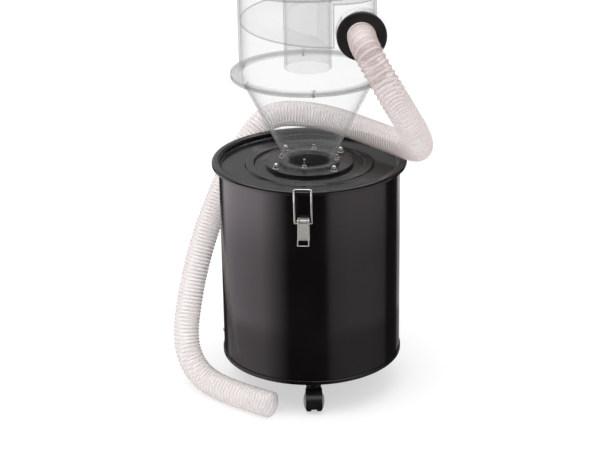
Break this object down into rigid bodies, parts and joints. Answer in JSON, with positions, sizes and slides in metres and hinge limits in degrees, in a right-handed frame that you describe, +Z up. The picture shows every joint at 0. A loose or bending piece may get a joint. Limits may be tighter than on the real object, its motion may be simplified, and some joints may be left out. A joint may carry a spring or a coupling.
{
  "type": "mobile workshop cyclone dust separator",
  "caption": "Clear cyclone with a helical roof on the latched lid of a black steel drum, on swivel casters, with a ribbed inlet hose down to the floor",
  "frame": {"origin": "on the floor at the drum's vertical axis", "axes": "+Z up, -Y towards the front latch, +X to the side that carries the inlet"},
  "size_m": [0.5073, 0.4972, 0.864],
  "materials": {
    "drum_enamel": "glossy black stoved enamel on pressed steel sheet",
    "seat_plastic": "satin black moulded plastic",
    "clear_plastic": "clear polished plastic",
    "collar_rubber": "matt black moulded rubber",
    "latch_steel": "bright plated steel strip and wire",
    "caster_steel": "zinc plated steel",
    "hood_plastic": "black moulded nylon",
    "wheel_plastic": "grey moulded nylon",
    "hose_plastic": "clear ribbed hose with a spiral wire"
  },
  "bodies": {
    "drum": {"drum_shell": "drum_enamel", "drum_base": "drum_enamel", "lid": "drum_enamel", "cone_seat": "seat_plastic", "cyclone_cone": "clear_plastic", "cyclone_barrel": "clear_plastic", "helical_roof": "clear_plastic", "top_plate": "clear_plastic", "outlet_tube": "clear_plastic", "inlet_collar": "collar_rubber", "outlet_collar": "collar_rubber", "front_latch_base": "latch_steel", "rear_latch_base": "latch_steel", "caster_1_plate": "caster_steel", "caster_2_plate": "caster_steel", "caster_3_plate": "caster_steel", "hose": "hose_plastic"},
    "front_lever": {"front_latch_lever": "latch_steel"},
    "front_bail": {"front_latch_bail": "latch_steel"},
    "rear_lever": {"rear_latch_lever": "latch_steel"},
    "rear_bail": {"rear_latch_bail": "latch_steel"},
    "caster_1_swivel": {"caster_1_hood": "hood_plastic"},
    "caster_1_roll": {"caster_1_wheels": "wheel_plastic"},
    "caster_2_swivel": {"caster_2_hood": "hood_plastic"},
    "caster_2_roll": {"caster_2_wheels": "wheel_plastic"},
    "caster_3_swivel": {"caster_3_hood": "hood_plastic"},
    "caster_3_roll": {"caster_3_wheels": "wheel_plastic"}
  },
  "joints": [
    {"name": "front_latch", "type": "hinge", "parent": "drum", "child": "front_lever", "pos_m": [-0.01287, -0.18405, 0.411], "axis": [-0.9976, 0.0698, 0], "range_deg": [0, 130]},
    {"name": "front_bail_swing", "type": "hinge", "parent": "front_lever", "child": "front_bail", "pos_m": [-0.01273, -0.18205, 0.4045], "axis": [-0.9976, 0.0698, 0], "range_deg": [-162.5, 0]},
    {"name": "rear_latch", "type": "hinge", "parent": "drum", "child": "rear_lever", "pos_m": [0.01287, 0.18405, 0.411], "axis": [0.9976, -0.0698, 0], "range_deg": [0, 130]},
    {"name": "rear_bail_swing", "type": "hinge", "parent": "rear_lever", "child": "rear_bail", "pos_m": [0.01273, 0.18205, 0.4045], "axis": [0.9976, -0.0698, 0], "range_deg": [-162.5, 0]},
    {"name": "caster_1_turn", "type": "hinge", "parent": "drum", "child": "caster_1_swivel", "pos_m": [0.0023, -0.13198, 0.066], "axis": [0, 0, 1], "continuous": true},
    {"name": "caster_1_spin", "type": "hinge", "parent": "caster_1_swivel", "child": "caster_1_roll", "pos_m": [0.00255, -0.14598, 0.021], "axis": [0.9998, 0.0175, 0], "continuous": true},
    {"name": "caster_2_turn", "type": "hinge", "parent": "drum", "child": "caster_2_swivel", "pos_m": [0.11315, 0.06799, 0.066], "axis": [0, 0, 1], "continuous": true},
    {"name": "caster_2_spin", "type": "hinge", "parent": "caster_2_swivel", "child": "caster_2_roll", "pos_m": [0.12515, 0.0752, 0.021], "axis": [-0.515, 0.8572, 0], "continuous": true},
    {"name": "caster_3_turn", "type": "hinge", "parent": "drum", "child": "caster_3_swivel", "pos_m": [-0.11545, 0.06399, 0.066], "axis": [0, 0, 1], "continuous": true},
    {"name": "caster_3_spin", "type": "hinge", "parent": "caster_3_swivel", "child": "caster_3_roll", "pos_m": [-0.12769, 0.07078, 0.021], "axis": [-0.4848, -0.8746, 0], "continuous": true}
  ],
  "couplings": [
    {"joint": "front_bail_swing", "follows": "front_latch", "ratio": -1.25},
    {"joint": "rear_bail_swing", "follows": "rear_latch", "ratio": -1.25}
  ]
}
